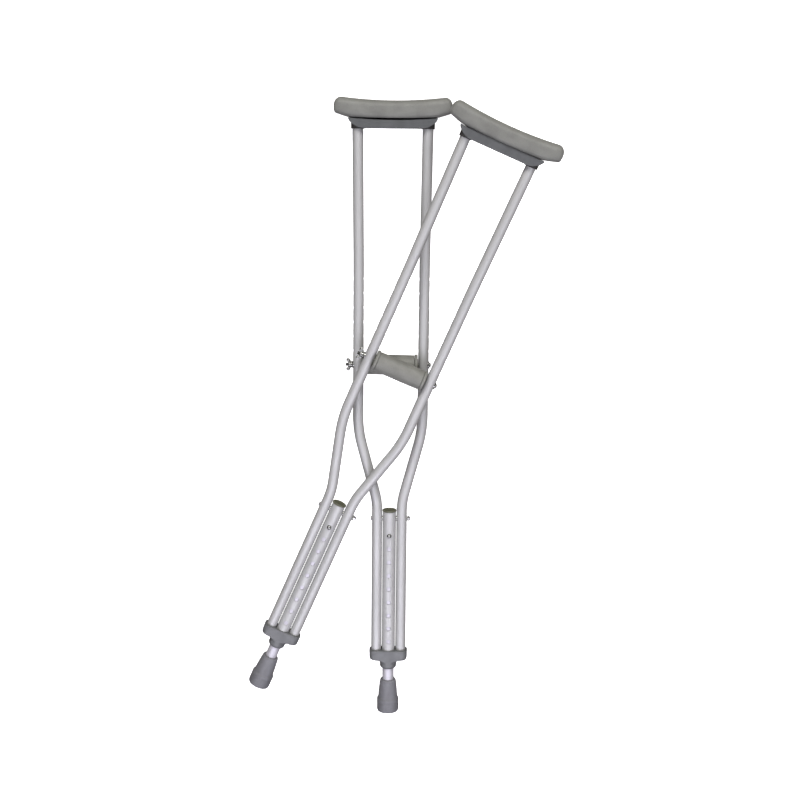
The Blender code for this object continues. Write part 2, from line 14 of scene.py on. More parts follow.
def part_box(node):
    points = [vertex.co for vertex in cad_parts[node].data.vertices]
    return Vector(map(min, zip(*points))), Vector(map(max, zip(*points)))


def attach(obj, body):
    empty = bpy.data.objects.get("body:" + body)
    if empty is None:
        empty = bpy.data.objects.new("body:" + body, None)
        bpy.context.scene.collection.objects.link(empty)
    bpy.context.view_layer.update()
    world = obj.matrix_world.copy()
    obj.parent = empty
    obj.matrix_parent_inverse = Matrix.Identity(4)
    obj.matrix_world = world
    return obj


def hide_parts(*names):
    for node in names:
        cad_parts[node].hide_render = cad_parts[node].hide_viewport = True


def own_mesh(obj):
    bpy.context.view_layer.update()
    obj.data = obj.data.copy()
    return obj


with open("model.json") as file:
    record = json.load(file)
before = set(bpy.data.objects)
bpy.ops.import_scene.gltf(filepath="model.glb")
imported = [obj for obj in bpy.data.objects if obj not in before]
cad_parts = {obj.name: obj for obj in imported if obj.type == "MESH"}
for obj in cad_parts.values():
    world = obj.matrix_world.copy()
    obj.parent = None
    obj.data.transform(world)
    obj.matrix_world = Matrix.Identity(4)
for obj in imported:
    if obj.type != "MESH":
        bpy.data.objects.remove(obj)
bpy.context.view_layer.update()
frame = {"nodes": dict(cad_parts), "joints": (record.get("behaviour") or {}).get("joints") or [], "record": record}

SIDES = ("a", "b")
MM = 0.001                      # one millimetre, in the scene's metres
GAP = 0.3 * MM                  # play between pieces that fit together


# ---- the two crutches' frames, from the record ------------------------------------------
def crutch_matrix(side):
    """Where a crutch's own frame lies: its sole, its long axis and its upward side."""
    mounts = {m["name"]: m for m in frame["record"]["mounts"]}
    joints = {j["name"]: j for j in frame["joints"]}
    sole = mounts[side + "_tip_sole"]
    along = -Vector(sole["axis"]).normalized()
    out = -Vector(joints[side + "_button_press"]["axis"])
    out = (out - along * out.dot(along)).normalized()
    across = along.cross(out)
    turn = Matrix((across, along, out)).transposed().to_4x4()
    return Matrix.Translation(Vector(sole["pos_m"])) @ turn


PLACE = {side: crutch_matrix(side) for side in SIDES}


def cad(node):
    """Lowest and highest corner of a CAD node of crutch A, in the crutch's own frame."""
    low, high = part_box("a_" + node)
    inverse = PLACE["a"].inverted()
    return inverse @ low, inverse @ high


def middle(node):
    """Centre of what cad gives."""
    low, high = cad(node)
    return (low + high) / 2


def span(node):
    """Size of what cad gives."""
    low, high = cad(node)
    return high - low


# ---- sizes shared by several pieces -----------------------------------------------------
PITCH = 25.4 * MM               # one inch between adjusting holes
WALL = 1.2 * MM
BOLT_RADIUS = 3.0 * MM
CROSS_RADIUS = 2.5 * MM
RIVET_RADIUS = 1.8 * MM
HEAD_RADIUS = 4.2 * MM          # of both bolts
HOLE_PLAY = 0.2 * MM            # a hole's radius less that of its bolt or rivet
THROUGH = 100 * MM              # ends of a drill that goes right across, from the axis
DRILL = 30 * MM                 # outer end of a drill through one wall, from the axis
BOW_RADIUS = span("bow_tube_left").z / 2
CENTRE_RADIUS = span("centre_tube").x / 2
LEG_RADIUS = span("leg_tube").x / 2
TUBE_FOOT = cad("centre_tube")[0].y
CENTRE_TOP = cad("centre_tube")[1].y
BOW_TOP = cad("bow_tube_right")[1].y
GROUP_HALF = cad("bow_tube_right")[0].x + BOW_RADIUS     # uprights beside the centre tube
TOP_HALF = cad("bow_tube_right")[1].x - BOW_RADIUS       # uprights under the pad
GRIP_HALF = cad("grip_core")[1].x + GAP + BOW_RADIUS     # uprights beside the grip
BEND_LOW_Y = 403.2 * MM         # the uprights leave the centre tube
BEND_LOW_RADIUS = 140 * MM
BEND_HIGH_Y = 535.0 * MM        # and run straight past the grip
BEND_HIGH_RADIUS = 220 * MM
SPREAD_Y = 835.0 * MM           # and lean out from here up to the pad
SPREAD_RADIUS = 1500 * MM
CROSS_Y = middle("cross_bolt").y
BUTTON_Y = middle("snap_button").y
BUTTON_RADIUS = span("snap_button").x / 2
GRIP_Y = middle("grip_core").y
WASHER_FACE = GRIP_HALF + BOW_RADIUS + 1.3 * MM          # outside of the grip's washers
GRIP_HOLES = 7
LEG_HOLES = 9


# ---- mesh helpers -----------------------------------------------------------------------
def add_object(name, data):
    """A new object for a mesh, light or camera, in the scene."""
    made = bpy.data.objects.new(name, data)
    bpy.context.scene.collection.objects.link(made)
    return made


def shade(obj, angle=35):
    """Smooth shading, but sharp where faces meet at more than angle degrees."""
    obj.data.shade_smooth()
    obj.data.set_sharp_from_angle(angle=math.radians(angle))


def from_bmesh(name, shape, smooth=35):
    """Turns a bmesh, which is used up, into a shaded object."""
    bmesh.ops.recalc_face_normals(shape, faces=shape.faces)
    mesh = bpy.data.meshes.new(name)
    shape.to_mesh(mesh)
    shape.free()
    made = add_object(name, mesh)
    shade(made, smooth)
    return made


def arc(centre, radius, start, end, count):
    """Points on an arc, angles in degrees, both ends included."""
    points = []
    for i in range(count + 1):
        angle = math.radians(start + (end - start) * i / count)
        x = centre[0] + radius * math.cos(angle)
        points.append((x, centre[1] + radius * math.sin(angle)))
    return points


def filleted(corners, steps):
    """A polyline of (x, y, radius) corners, rounded by arcs. Its ends have radius 0."""
    points = []
    for i, (x, y, radius) in enumerate(corners):
        here = Vector((x, y))
        if radius == 0:
            points.append(here)
            continue
        back = (Vector(corners[i - 1][:2]) - here).normalized()
        ahead = (Vector(corners[i + 1][:2]) - here).normalized()
        turn = math.pi - back.angle(ahead)
        reach = radius * math.tan(turn / 2)
        centre = here + (back + ahead).normalized() * (radius / math.cos(turn / 2))
        first = here + back * reach - centre
        sense = 1 if first.x * ahead.y - first.y * ahead.x > 0 else -1
        for k in range(steps + 1):
            points.append(centre + Matrix.Rotation(sense * turn * k / steps, 2) @ first)
    return points


def loft(name, rings, loop=False, smooth=35):
    """Faces between rings of points, with end caps, or joined end to end as a loop."""
    shape = bmesh.new()
    rows = [[shape.verts.new(p) for p in ring] for ring in rings]
    pairs = list(zip(rows, rows[1:]))
    if loop:
        pairs.append((rows[-1], rows[0]))
    for one, two in pairs:
        count = len(one)
        for k in range(count):
            after = (k + 1) % count
            shape.faces.new((one[k], one[after], two[after], two[k]))
    if not loop:
        shape.faces.new(rows[0])
        shape.faces.new(rows[-1])
    return from_bmesh(name, shape, smooth)


# a profile's point at radius r and height h, turned by an angle of cosine c and sine s
AXES = {
    "X": lambda r, h, c, s: (h, r * c, r * s),
    "Y": lambda r, h, c, s: (r * c, h, r * s),
    "Z": lambda r, h, c, s: (r * c, r * s, h),
}


def lathe(name, profile, axis="Y", origin=(0, 0, 0), steps=56, loop=False):
    """A profile of (radius, height) turned round an axis through origin."""
    point_at = AXES[axis]
    origin = Vector(origin)
    shape = bmesh.new()
    rows = []
    for radius, height in profile:
        if radius < 0.001 * MM:
            rows.append([shape.verts.new(origin + Vector(point_at(0, height, 1, 0)))])
            continue
        row = []
        for k in range(steps):
            angle = 2 * math.pi * k / steps
            point = Vector(point_at(radius, height, math.cos(angle), math.sin(angle)))
            row.append(shape.verts.new(origin + point))
        rows.append(row)
    pairs = list(zip(rows, rows[1:]))
    if loop:
        pairs.append((rows[-1], rows[0]))
    for one, two in pairs:
        for k in range(steps):
            after = (k + 1) % steps
            if len(one) == 1:
                shape.faces.new((one[0], two[after], two[k]))
            elif len(two) == 1:
                shape.faces.new((one[k], one[after], two[0]))
            else:
                shape.faces.new((one[k], one[after], two[after], two[k]))
    return from_bmesh(name, shape)


def sleeve(name, profile, sign, y, steps):
    """A ring round the X axis at height y, on the left for sign -1 and the right for 1."""
    sided = [(radius, sign * x) for radius, x in profile]
    return lathe(name, sided, "X", (0, y, 0), steps, loop=True)


def spaced(path, step):
    """The same path with points no further apart than step."""
    points = [Vector(path[0])]
    for end in path[1:]:
        start, end = points[-1].copy(), Vector(end)
        count = max(1, math.ceil((end - start).length / step))
        points += [start.lerp(end, (i + 1) / count) for i in range(count)]
    return points


def pipe(name, path, radius, sides=48):
    """A hollow tube along (x, y) points, with its rims rounded off."""
    path = [Vector(p) for p in path]
    rim = 0.25 * MM

    def ring(index, size, shift=0.0):
        ahead = path[min(index + 1, len(path) - 1)] - path[max(index - 1, 0)]
        ahead.normalize()
        normal = Vector((ahead.y, -ahead.x))
        points = []
        for k in range(sides):
            angle = 2 * math.pi * k / sides
            flat = path[index] + normal * size * math.cos(angle) + ahead * shift
            points.append((flat.x, flat.y, size * math.sin(angle)))
        return points

    last = len(path) - 1
    rings = [ring(0, radius - rim)]
    rings.append(ring(0, radius, rim))
    rings += [ring(i, radius) for i in range(1, last)]
    rings.append(ring(last, radius, -rim))
    rings.append(ring(last, radius - rim))
    inside = radius - WALL
    rings.append(ring(last, inside + rim))
    rings.append(ring(last, inside, -rim))
    rings += [ring(i, inside) for i in range(last - 1, 0, -1)]
    rings.append(ring(0, inside, rim))
    rings.append(ring(0, inside + rim))
    return loft(name, rings, loop=True)


def rods(name, specs, sides=32):
    """Separate cylinders (start, end, radius) in one object, as a boolean's tool."""
    shape = bmesh.new()
    for start, end, radius in specs:
        start, end = Vector(start), Vector(end)
        along = end - start
        turn = along.to_track_quat("Z", "Y").to_matrix().to_4x4()
        matrix = Matrix.Translation((start + end) / 2) @ turn
        bmesh.ops.create_cone(shape, cap_ends=True, segments=sides, radius1=radius,
                              radius2=radius, depth=along.length, matrix=matrix)
    return from_bmesh(name, shape)


def plate(name, outline, low, high):
    """A flat outline of (x, y) points, thickened from z low to z high."""
    shape = bmesh.new()
    face = shape.faces.new([shape.verts.new((p[0], p[1], low)) for p in outline])
    grown = bmesh.ops.extrude_face_region(shape, geom=[face])
    tops = [v for v in grown["geom"] if isinstance(v, bmesh.types.BMVert)]
    bmesh.ops.translate(shape, verts=tops, vec=(0, 0, high - low))
    return from_bmesh(name, shape)


def bake(obj):
    """Replaces an object's mesh by its evaluated one, with no modifiers left."""
    bpy.context.view_layer.update()
    graph = bpy.context.evaluated_depsgraph_get()
    mesh = bpy.data.meshes.new_from_object(obj.evaluated_get(graph))
    obj.modifiers.clear()
    obj.data = mesh


def combine(obj, tool, operation="DIFFERENCE"):
    """Boolean with a tool, which is used up."""
    made = obj.modifiers.new("boolean", "BOOLEAN")
    made.object = tool
    made.operation = operation
    bake(obj)
    bpy.data.objects.remove(tool)
    return obj


def soften(obj, width, segments=2, angle=30):
    """Rounds an object's sharp edges."""
    made = obj.modifiers.new("edge", "BEVEL")
    made.width = width
    made.segments = segments
    made.limit_method = "ANGLE"
    made.angle_limit = math.radians(angle)
    bake(obj)
    shade(obj, 40)


def subdivide(obj):
    """Splits every face once, with the surface smoothed."""
    made = obj.modifiers.new("smooth", "SUBSURF")
    made.levels = 1
    made.render_levels = 1
    bake(obj)
    obj.data.shade_smooth()


def rounded_ring(half_x, half_z, radius, y, quarter=24):
    """A rounded rectangle across the Y axis, its points evenly spaced in each quarter."""
    straight_x = half_x - radius
    straight_z = half_z - radius
    bow = radius * math.pi / 2
    total = straight_z + bow + straight_x
    points = []
    for i in range(quarter + 1):
        run = total * i / quarter
        if run <= straight_z:
            points.append((half_x, run))
        elif run < straight_z + bow:
            angle = (run - straight_z) / radius
            points.append((straight_x + radius * math.cos(angle),
                           straight_z + radius * math.sin(angle)))
        else:
            points.append((straight_x - (run - straight_z - bow), half_z))
    signs = ((1, 1), (-1, 1), (-1, -1), (1, -1))
    ring = []
    for part, (sign_x, sign_z) in enumerate(signs):
        for i in range(quarter):
            x, z = points[i] if part % 2 == 0 else points[quarter - i]
            ring.append((sign_x * x, y, sign_z * z))
    return ring


def threaded(radius, start, end):
    """Profile points of a screw thread drawn as rings, from height start to end."""
    points = []
    pitch = 0.8 * MM
    depth = 0.3 * MM
    count = max(2, round(abs(end - start) / pitch))
    for i in range(count):
        low = start + (end - start) * i / count
        high = start + (end - start) * (i + 0.5) / count
        points += [(radius - depth, low), (radius, high)]
    points.append((radius - depth, end))
    return points


def screw_head(radius, height, seat):
    """Profile of a domed head, from its crown down to its seat at height seat."""
    rim = seat + 0.25 * height
    dome = 0.75 * height
    points = []
    for degrees in range(0, 91, 10):
        angle = math.radians(degrees)
        points.append((radius * math.sin(angle), rim + dome * math.cos(angle)))
    points[0] = (0, points[0][1])
    return points + [(radius, seat + 0.1 * MM), (radius - 0.1 * MM, seat)]


# ---- materials --------------------------------------------------------------------------
def set_stops(node, stops):
    """Gives a colour ramp its stops of (position, colour or grey)."""
    elements = node.color_ramp.elements
    while len(elements) < len(stops):
        elements.new(0.5)
    for element, (position, value) in zip(elements, stops):
        element.position = position
        element.color = (*value, 1) if isinstance(value, tuple) else (value, value, value, 1)


class Finish:
    """A Principled material with procedural colour, roughness and relief."""

    def __init__(self, name, colour, roughness, metallic=0.0):
        self.material = bpy.data.materials.new(name)
        self.material.use_nodes = True
        self.material.diffuse_color = (*colour, 1)
        self.tree = self.material.node_tree
        self.shader = self.tree.nodes["Principled BSDF"]
        self.shader.inputs["Base Color"].default_value = (*colour, 1)
        self.shader.inputs["Roughness"].default_value = roughness
        self.shader.inputs["Metallic"].default_value = metallic
        self.coordinates = self.tree.nodes.new("ShaderNodeTexCoord").outputs["Object"]
        self.relief = None

    def noise(self, scale, stretch=(1, 1, 1), detail=3.0):
        """Noise with about scale features per metre, less along a stretched axis."""
        mapping = self.tree.nodes.new("ShaderNodeMapping")
        mapping.inputs["Scale"].default_value = [scale / s for s in stretch]
        self.tree.links.new(self.coordinates, mapping.inputs["Vector"])
        made = self.tree.nodes.new("ShaderNodeTexNoise")
        made.inputs["Scale"].default_value = 1.0
        made.inputs["Detail"].default_value = detail
        self.tree.links.new(mapping.outputs["Vector"], made.inputs["Vector"])
        return made.outputs["Fac"]

    def cells(self, scale):
        """Rounded cells, as of a pebbled skin."""
        made = self.tree.nodes.new("ShaderNodeTexVoronoi")
        made.feature = "SMOOTH_F1"
        made.inputs["Scale"].default_value = scale
        self.tree.links.new(self.coordinates, made.inputs["Vector"])
        return made.outputs["Distance"]

    def ramp(self, source, stops):
        """Maps a value to colours or greys at its (position, value) stops."""
        made = self.tree.nodes.new("ShaderNodeValToRGB")
        set_stops(made, stops)
        self.tree.links.new(source, made.inputs["Fac"])
        return made.outputs["Color"]

    def blend(self, factor, one, two, mode="MIX"):
        """Mixes two colours, either of which may be a socket."""
        made = self.tree.nodes.new("ShaderNodeMix")
        made.data_type = "RGBA"
        made.blend_type = mode
        for socket, value in ((made.inputs["Factor"], factor), (made.inputs["A"], one),
                              (made.inputs["B"], two)):
            self.give(socket, value)
        return made.outputs["Result"]

    def give(self, socket, value):
        """Feeds a socket from another socket, a colour or a number."""
        if isinstance(value, bpy.types.NodeSocket):
            self.tree.links.new(value, socket)
        elif isinstance(value, tuple):
            socket.default_value = (*value, 1)
        else:
            socket.default_value = value

    def colour(self, source):
        self.give(self.shader.inputs["Base Color"], source)

    def roughness(self, source, low, high):
        """Roughness from low to high as a value goes through the middle of its range."""
        made = self.tree.nodes.new("ShaderNodeMapRange")
        made.inputs["From Min"].default_value = 0.3
        made.inputs["From Max"].default_value = 0.7
        made.inputs["To Min"].default_value = low
        made.inputs["To Max"].default_value = high
        self.tree.links.new(source, made.inputs["Value"])
        self.tree.links.new(made.outputs["Result"], self.shader.inputs["Roughness"])

    def bump(self, source, distance, strength):
        """Relief from a value, on top of any relief given before."""
        made = self.tree.nodes.new("ShaderNodeBump")
        made.inputs["Distance"].default_value = distance
        made.inputs["Strength"].default_value = strength
        self.tree.links.new(source, made.inputs["Height"])
        if self.relief is not None:
            self.tree.links.new(self.relief, made.inputs["Normal"])
        self.relief = made.outputs["Normal"]
        self.tree.links.new(self.relief, self.shader.inputs["Normal"])


SATIN = 0.35                    # metallic share: anodising is part metal, part milky oxide


def tinted(colour, gain):
    """A colour made lighter or darker, up to white."""
    return tuple(min(1.0, c * gain) for c in colour)


def foam_skin(name, colour):
    """Pebbled skin of moulded foam, a little worn and dusty in places."""
    made = Finish(name, colour, 0.6)
    patches = made.ramp(made.noise(38, detail=4), [(0.35, tinted(colour, 0.88)),
                                                   (0.65, tinted(colour, 1.10))])
    specks = made.ramp(made.noise(900, detail=2), [(0.40, 0.90), (0.62, 1.0)])
    made.colour(made.blend(1.0, patches, specks, "MULTIPLY"))
    made.roughness(made.noise(60), 0.52, 0.70)
    made.shader.inputs["Sheen Weight"].default_value = 0.12
    made.shader.inputs["Sheen Roughness"].default_value = 0.5
    made.bump(made.cells(900), 0.25 * MM, 0.5)
    made.bump(made.noise(220, detail=3), 0.20 * MM, 0.4)
    return made.material


def moulded(name, colour, roughness, grain=700, depth=0.06 * MM):
    """Moulded plastic or rubber with a fine spark-eroded grain and faint flow marks."""
    made = Finish(name, colour, roughness)
    flow = made.ramp(made.noise(45, (1, 2.5, 1), 4), [(0.35, tinted(colour, 0.86)),
                                                      (0.68, tinted(colour, 1.14))])
    made.colour(flow)
    made.roughness(made.noise(120, detail=4), roughness - 0.08, roughness + 0.10)
    made.bump(made.noise(grain, detail=3), depth, 0.8)
    return made.material


def drawn_metal(name, colour, roughness):
    """Drawn tube: fine lines along its length, cloudy anodising and a few scuffs."""
    made = Finish(name, colour, roughness, SATIN)
    lines = made.noise(1500, (1, 60, 1), 2)
    cloud = made.noise(40, (1, 5, 1), 4)
    clouds = made.ramp(cloud, [(0.30, tinted(colour, 0.95)), (0.70, tinted(colour, 1.05))])
    drawn = made.ramp(lines, [(0.35, 0.93), (0.65, 1.0)])
    made.colour(made.blend(1.0, clouds, drawn, "MULTIPLY"))
    made.roughness(made.noise(90, (1, 8, 1), 4), roughness - 0.05, roughness + 0.10)
    made.bump(lines, 0.02 * MM, 0.5)
    return made.material


def plated(name, colour, roughness):
    """Bright zinc plate, slightly clouded."""
    made = Finish(name, colour, roughness, 1.0)
    made.colour(made.ramp(made.noise(300, detail=4), [(0.3, tinted(colour, 0.82)), (0.7, colour)]))
    made.roughness(made.noise(500), roughness - 0.06, roughness + 0.12)
    made.bump(made.noise(900), 0.02 * MM, 0.4)
    return made.material


FINISHES = {
    "soft_pad": foam_skin("foam_pad_skin", (0.148, 0.149, 0.137)),
    "soft_grip": foam_skin("foam_grip_skin", (0.163, 0.163, 0.148)),
    "moulding": moulded("grey_moulding", (0.096, 0.099, 0.103), 0.48),
    "cap_plastic": moulded("olive_cap", (0.085, 0.087, 0.058), 0.45),
    "tip_rubber": moulded("tip_rubber", (0.124, 0.124, 0.135), 0.60, 500, 0.10 * MM),
    "anodised_tube": drawn_metal("satin_anodised_tube", (0.40, 0.40, 0.40), 0.50),
    # partly painted reflection: the leg's base is lighter and lavender-tinted like the lavender low lamp, on top
    # of the tube's own grey
    "leg_aluminium": drawn_metal("leg_tube_painted_reflection", (0.46, 0.45, 0.49), 0.50),
    "zinc_plate": plated("bright_zinc", (0.28, 0.28, 0.27), 0.22),
    "spring_steel": plated("spring_steel", (0.40, 0.40, 0.41), 0.30),
}
# painted shade: a nearly black copy of the moulding for the socket walls and rims, where shade falls between the
# skirts
SOCKET_PAINTED_SHADE = moulded("socket_painted_shade", (0.022, 0.020, 0.019), 0.55)
# painted shade: a darker copy of the grey moulding for the saddle, which lies in the pad's shade
SADDLE_PAINTED_SHADE = moulded("saddle_moulding_painted_shade", (0.062, 0.065, 0.067), 0.50)


def place(made, node, body, slot):
    """Puts a finished piece on both crutches in place of a CAD node."""
    made.data.materials.clear()
    made.data.materials.append(FINISHES[slot])
    for side in SIDES:
        piece = add_object(side + "_" + node + "_detail", made.data.copy())
        piece.matrix_world = PLACE[side]
        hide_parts(side + "_" + node)
        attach(piece, side + "_" + body)
    bpy.data.objects.remove(made)


# ---- tubes ------------------------------------------------------------------------------
def build_tubes():
    """The two bent bow tubes, the centre tube and the inner leg, with their holes."""
    corners = [(GROUP_HALF, TUBE_FOOT, 0), (GROUP_HALF, BEND_LOW_Y, BEND_LOW_RADIUS),
               (GRIP_HALF, BEND_HIGH_Y, BEND_HIGH_RADIUS), (GRIP_HALF, SPREAD_Y, SPREAD_RADIUS),
               (TOP_HALF, BOW_TOP, 0)]
    path = spaced(filleted(corners, 18), 6 * MM)
    grip_holes = []
    for i in range(GRIP_HOLES):
        y = GRIP_Y + i * PITCH
        grip_holes.append(((-THROUGH, y, 0), (THROUGH, y, 0), BOLT_RADIUS + HOLE_PLAY))
    cross_hole = ((-THROUGH, CROSS_Y, 0), (THROUGH, CROSS_Y, 0), CROSS_RADIUS + HOLE_PLAY)
    for node, sign in (("bow_tube_left", -1), ("bow_tube_right", 1)):
        sided = [(sign * p.x, p.y) for p in path]
        bow = pipe(node, sided, BOW_RADIUS)
        rivet = middle("saddle_rivet_" + node.rpartition("_")[2])
        rivet_hole = ((rivet.x, rivet.y, -DRILL), (rivet.x, rivet.y, 0),
                      RIVET_RADIUS + HOLE_PLAY)
        combine(bow, rods("drill", grip_holes + [cross_hole, rivet_hole], 24))
        shade(bow)
        place(bow, node, "frame", "anodised_tube")

    centre_path = spaced([(0, TUBE_FOOT), (0, CENTRE_TOP)], 4 * MM)
    centre = pipe("centre_tube", centre_path, CENTRE_RADIUS, 64)
    inner = 4 * MM              # inner end of these drills, from the axis
    snap_holes = []
    for i in range(LEG_HOLES):
        y = BUTTON_Y - i * PITCH
        snap_holes.append(((0, y, inner), (0, y, DRILL), BUTTON_RADIUS + 0.35 * MM))
    rivet = middle("yoke_rivet")
    rivet_hole = ((0, rivet.y, -DRILL), (0, rivet.y, -inner), RIVET_RADIUS + HOLE_PLAY)
    combine(centre, rods("drill", snap_holes + [cross_hole, rivet_hole], 32))
    shade(centre)
    place(centre, "centre_tube", "frame", "anodised_tube")

    low, high = cad("leg_tube")
    leg = pipe("leg_tube", spaced([(0, low.y), (0, high.y)], 4 * MM), LEG_RADIUS, 56)
    button_hole = ((0, BUTTON_Y, 2 * MM), (0, BUTTON_Y, DRILL), BUTTON_RADIUS + 0.3 * MM)
    combine(leg, rods("drill", [button_hole], 32))
    shade(leg)
    place(leg, "leg_tube", "leg", "leg_aluminium")


def build_cap():
    """Plug in the top of the centre tube, with a rolled rim round a shallow dish."""
    top = cad("centre_cap")[1].y
    rim = cad("centre_cap")[1].x
    seat = CENTRE_TOP + GAP
    foot = seat - 8.2 * MM
    profile = [(0, top - 1.5 * MM), (8.2 * MM, top - 1.4 * MM), (9.2 * MM, top - 1.1 * MM),
               (9.9 * MM, top - 0.4 * MM), (10.5 * MM, top - 0.05 * MM), (11.1 * MM, top),
               (11.9 * MM, top - 0.25 * MM), (12.5 * MM, top - 0.8 * MM),
               (rim, top - 1.5 * MM), (rim, seat + 0.5 * MM), (rim - 0.4 * MM, seat),
               (10.1 * MM, seat), (9.8 * MM, seat - 7.6 * MM), (9.3 * MM, foot),
               (0, foot)]
    place(lathe("centre_cap", profile), "centre_cap", "frame", "cap_plastic")


# ---- underarm pad and its saddle --------------------------------------------------------
PAD_LOW, PAD_HIGH = cad("underarm_pad")
PAD_HALF = PAD_HIGH.x
PAD_DEPTH = PAD_HIGH.z
PAD_BOTTOM = PAD_LOW.y
PAD_TOP = 1111.0 * MM           # at the middle
PAD_DISH = 6.0 * MM             # rise of the top at DISH_HALF
DISH_HALF = 93 * MM
PAD_CURVE = 3.2 * MM            # rise of the underside at CURVE_HALF
CURVE_HALF = 76 * MM


def pad_underside(x):
    """Height of the pad's bowed underside, x from the middle."""
    return PAD_BOTTOM + PAD_CURVE * (x / CURVE_HALF) ** 2


def interpolate(table, x):
    """Straight-line value of a table of (x, y) at x, held level beyond its ends."""
    if x <= table[0][0]:
        return table[0][1]
    for (x0, y0), (x1, y1) in zip(table, table[1:]):
        if x <= x1:
            return y0 + (y1 - y0) * (x - x0) / (x1 - x0)
    return table[-1][1]


def build_pad():
    """Dished foam bar: ends round off above, and are cut away in a slope below."""
    # tables of (distance from the middle, how much is cut away there):
    # slope off the underside, crown off the top, waist off the front and the back
    slope = [(CURVE_HALF, 0.0), (97.0 * MM, 6.4 * MM), (98.6 * MM, 7.1 * MM),
             (99.9 * MM, 8.3 * MM), (100.8 * MM, 10.0 * MM), (101.3 * MM, 12.4 * MM),
             (PAD_HALF, 15.0 * MM)]
    crown = [(88.0 * MM, 0.0), (91.0 * MM, 0.3 * MM), (94.0 * MM, 1.5 * MM),
             (96.6 * MM, 3.3 * MM), (98.6 * MM, 5.4 * MM), (100.2 * MM, 8.0 * MM),
             (101.1 * MM, 10.6 * MM), (PAD_HALF, 13.2 * MM)]
    waist = [(88.0 * MM, 0.0), (94.0 * MM, 0.6 * MM), (97.0 * MM, 1.8 * MM),
             (99.0 * MM, 3.4 * MM), (100.4 * MM, 5.6 * MM), (101.1 * MM, 8.0 * MM),
             (PAD_HALF, 10.4 * MM)]
    # sections every 6 mm, and closer together where the ends round off
    stations = [i * 6 * MM for i in range(15)]
    stations += [v * MM for v in (87, 90, 92.5, 94.5, 96.2, 97.7, 98.9, 99.8, 100.5, 101, 101.3)]
    stations.append(PAD_HALF)
    stations = [-x for x in reversed(stations[1:])] + stations
    around = 56
    squareness_above, squareness_below = 2.7, 3.6      # 2 would give an ellipse
    rings = []
    for x in stations:
        size = abs(x)
        low = pad_underside(min(size, CURVE_HALF)) + interpolate(slope, size)
        high = PAD_TOP + PAD_DISH * (min(size, DISH_HALF) / DISH_HALF) ** 2
        high -= interpolate(crown, size)
        depth = PAD_DEPTH - interpolate(waist, size)
        centre, half = (low + high) / 2, (high - low) / 2
        ring = []
        for k in range(around):
            angle = 2 * math.pi * k / around
            c, s = math.cos(angle), math.sin(angle)
            power = 2 / (squareness_above if s > 0 else squareness_below)
            y = centre + half * math.copysign(abs(s) ** power, s)
            ring.append((x, y, depth * math.copysign(abs(c) ** power, c)))
        rings.append(ring)
    pad = loft("underarm_pad", rings, smooth=60)
    subdivide(pad)
    place(pad, "underarm_pad", "frame", "soft_pad")


SOCKET_RADIUS = 11.5 * MM


def paint_saddle_shade(mesh, rim):
    """Paints shade: a darker copy of the moulding on the whole saddle, and a nearly black painted shade on the
    walls of the tube sockets and on their rims below height rim.
    """
    mesh.materials[0] = SADDLE_PAINTED_SHADE
    mesh.materials.append(SOCKET_PAINTED_SHADE)
    for face in mesh.polygons:
        out = math.hypot(abs(face.center.x) - TOP_HALF, face.center.z)
        on_wall = abs(out - SOCKET_RADIUS) < 0.15 * MM
        if on_wall or face.center.y < rim:
            face.material_index = 1


def build_saddle():
    """Moulded bracket: a dished top plate with ribs, two skirts and two tube sockets."""
    bottom = cad("saddle")[0].y
    depth = 16.3 * MM           # from the middle to a skirt's face
    half_low = 52 * MM          # half length at the bottom, where the corner curves start
    half_high = 76.6 * MM       # half length at the top, where they end
    edge = 0.8 * MM             # thickness of the top plate at its ends
    fullness = 2 / 1.6          # flatter than an ellipse, rounder than a slope
    wall = 2.2 * MM             # thickness of the skirts
    roof = 3.5 * MM             # thickness of the plate over the hollow
    inset = 0.93                # the hollow's length as a share of the plate's
    mouth = 74 * MM             # half length of the hollow, below the bottom
    ribs = (-36 * MM, -12 * MM, 12 * MM, 36 * MM)
    half_rib = 0.8 * MM
    lean = 0.9966               # the uprights spread: x of a bore's foot over x of its top

    def top(x):
        return pad_underside(x) - GAP

    steps = 20
    top_points = [(half_high * i / steps, top(half_high * i / steps))
                  for i in range(steps, -steps - 1, -1)]
    height = top(half_high) - edge - bottom
    corner = []
    for i in range(13):
        angle = math.pi / 2 * i / 12
        corner.append((half_low + (half_high - half_low) * math.cos(angle) ** fullness,
                       bottom + height * (1 - math.sin(angle) ** fullness)))
    outline = top_points + [(-x, y) for x, y in corner] + corner[::-1]
    body = plate("saddle", outline, -depth, depth)
    soften(body, 0.7 * MM, 3, 40)
    hollow = [(x * inset, y - roof) for x, y in top_points]
    hollow += [(-mouth, bottom - 10 * MM), (mouth, bottom - 10 * MM)]
    combine(body, plate("pocket", hollow, wall - depth, depth - wall))
    for x in ribs:
        rib = [(x - half_rib, bottom + 3 * MM), (x + half_rib, bottom + 3 * MM),
               (x + half_rib, top(x) - 1 * MM), (x - half_rib, top(x) - 1 * MM)]
        combine(body, plate("rib", rib, 1 * MM - depth, depth - 1 * MM), "UNION")
    for x in (-TOP_HALF, TOP_HALF):
        socket = ((x, bottom - 1 * MM, 0), (x, top(x) - 1 * MM, 0), SOCKET_RADIUS)
        combine(body, rods("socket", [socket], 48), "UNION")
    for sign, word in ((-1, "left"), (1, "right")):
        x = sign * TOP_HALF
        rivet = middle("saddle_rivet_" + word)
        bore = ((x * lean, bottom - 20 * MM, 0), (x, BOW_TOP + 0.4 * MM, 0), BOW_RADIUS + GAP)
        combine(body, rods("bore", [bore], 48))
        hole = ((rivet.x, rivet.y, -DRILL), (rivet.x, rivet.y, 0), RIVET_RADIUS + HOLE_PLAY)
        combine(body, rods("rivet_hole", [hole], 20))
    shade(body, 30)
    place(body, "saddle", "frame", "moulding")
    # the saddle and its sockets get their painted shade
    for side in SIDES:
        paint_saddle_shade(bpy.data.objects[side + "_saddle_detail"].data, bottom - 0.9 * MM)


